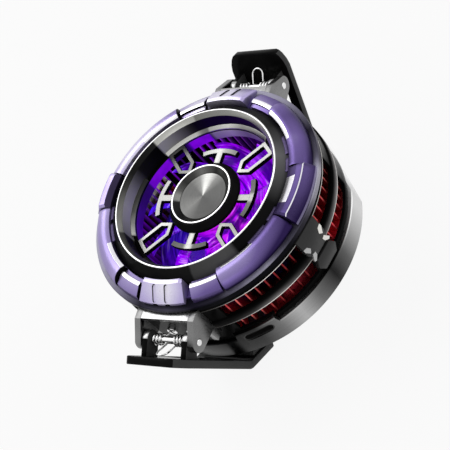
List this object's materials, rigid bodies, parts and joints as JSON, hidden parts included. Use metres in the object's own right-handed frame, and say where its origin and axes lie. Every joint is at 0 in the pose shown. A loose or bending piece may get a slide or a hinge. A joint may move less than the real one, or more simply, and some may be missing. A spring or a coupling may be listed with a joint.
{
  "type": "phone cooling fan",
  "caption": "Round clip-on phone cooler: guarded lit fan in a faceted ring, radial fins in a windowed cage, metal base with cold plate, two sprung hooked clamps.",
  "frame": {"origin": "centre of the contact face that lies on the phone's back", "axes": "+Z along the fan's axis, away from the phone; +X along the hinge pins; +Y towards the upper clamp"},
  "size_m": [0.0704, 0.0984, 0.0441],
  "materials": {
    "silicone": "matt",
    "bare_aluminium": "satin",
    "ceramic": "matt",
    "foam": "matt",
    "gunmetal": "brushed",
    "bright_steel": "polished",
    "black_gloss": "gloss",
    "black_plastic": "matt",
    "board_green": "satin",
    "board_white": "satin",
    "red_aluminium": "satin anodised",
    "dark_satin": "satin",
    "purple": "satin metallic",
    "deep_purple": "satin metallic",
    "lavender": "satin metallic",
    "dark_metal": "satin",
    "satin_grey": "satin",
    "spun_disc": "spun",
    "bearing_brass": "satin",
    "lamination": "satin",
    "copper": "enamelled",
    "lamp": "lit",
    "diffuser": "translucent",
    "violet_plastic": "translucent",
    "satin_steel": "satin",
    "lever_black": "gloss",
    "jaw_rubber": "matt"
  },
  "bodies": {
    "frame": {"contact_pad": "silicone", "cold_plate": "bare_aluminium", "peltier_module": "ceramic", "peltier_gasket": "foam", "base_housing": "gunmetal", "base_screws": "bright_steel", "port_housing": "gunmetal", "port_shell": "bright_steel", "port_tongue": "black_plastic", "control_board": "board_green", "board_chips": "black_plastic", "heatsink_plate": "red_aluminium", "fin_ring": "red_aluminium", "cage": "black_gloss", "cage_pillars": "dark_satin", "hex_plates": "dark_satin", "ring_flange": "lavender", "front_ring": "purple", "side_blocks": "deep_purple", "slotted_blocks": "lavender", "intake_funnel": "dark_metal", "collar_bars": "lavender", "throat_bevels": "satin_grey", "guard_grille": "satin_grey", "hub_rim": "bright_steel", "hub_disc": "spun_disc", "motor_mount": "bare_aluminium", "motor_board": "board_green", "sleeve_bearing": "bearing_brass", "stator_core": "lamination", "stator_coils": "copper", "led_board": "board_white", "leds": "lamp", "light_diffuser": "diffuser", "upper_bracket": "satin_steel", "upper_rivets": "bright_steel", "upper_pin": "bright_steel", "upper_spring": "bright_steel", "lower_bracket": "satin_steel", "lower_rivets": "bright_steel", "lower_pin": "bright_steel", "lower_spring": "bright_steel"},
    "fan": {"impeller": "violet_plastic", "fan_shaft": "bright_steel", "magnet_ring": "lamination"},
    "upper_clamp": {"upper_lever": "lever_black", "upper_jaw_pad": "jaw_rubber"},
    "lower_clamp": {"lower_lever": "lever_black", "lower_jaw_pad": "jaw_rubber"}
  },
  "joints": [
    {"name": "fan_spin", "type": "hinge", "parent": "frame", "child": "fan", "pos_m": [0, 0, 0.0172], "axis": [0, 0, 1], "continuous": true},
    {"name": "upper_clamp_hinge", "type": "hinge", "parent": "frame", "child": "upper_clamp", "pos_m": [0, 0.0396, 0.02005], "axis": [1, 0, 0], "range_deg": [0, 40], "stiffness_Nm_per_rad": 0.15, "springref_deg": -45.84, "deforming": ["upper_spring"]},
    {"name": "lower_clamp_hinge", "type": "hinge", "parent": "frame", "child": "lower_clamp", "pos_m": [0, -0.0396, 0.02005], "axis": [-1, 0, 0], "range_deg": [0, 40], "stiffness_Nm_per_rad": 0.15, "springref_deg": -45.84, "deforming": ["lower_spring"]}
  ]
}
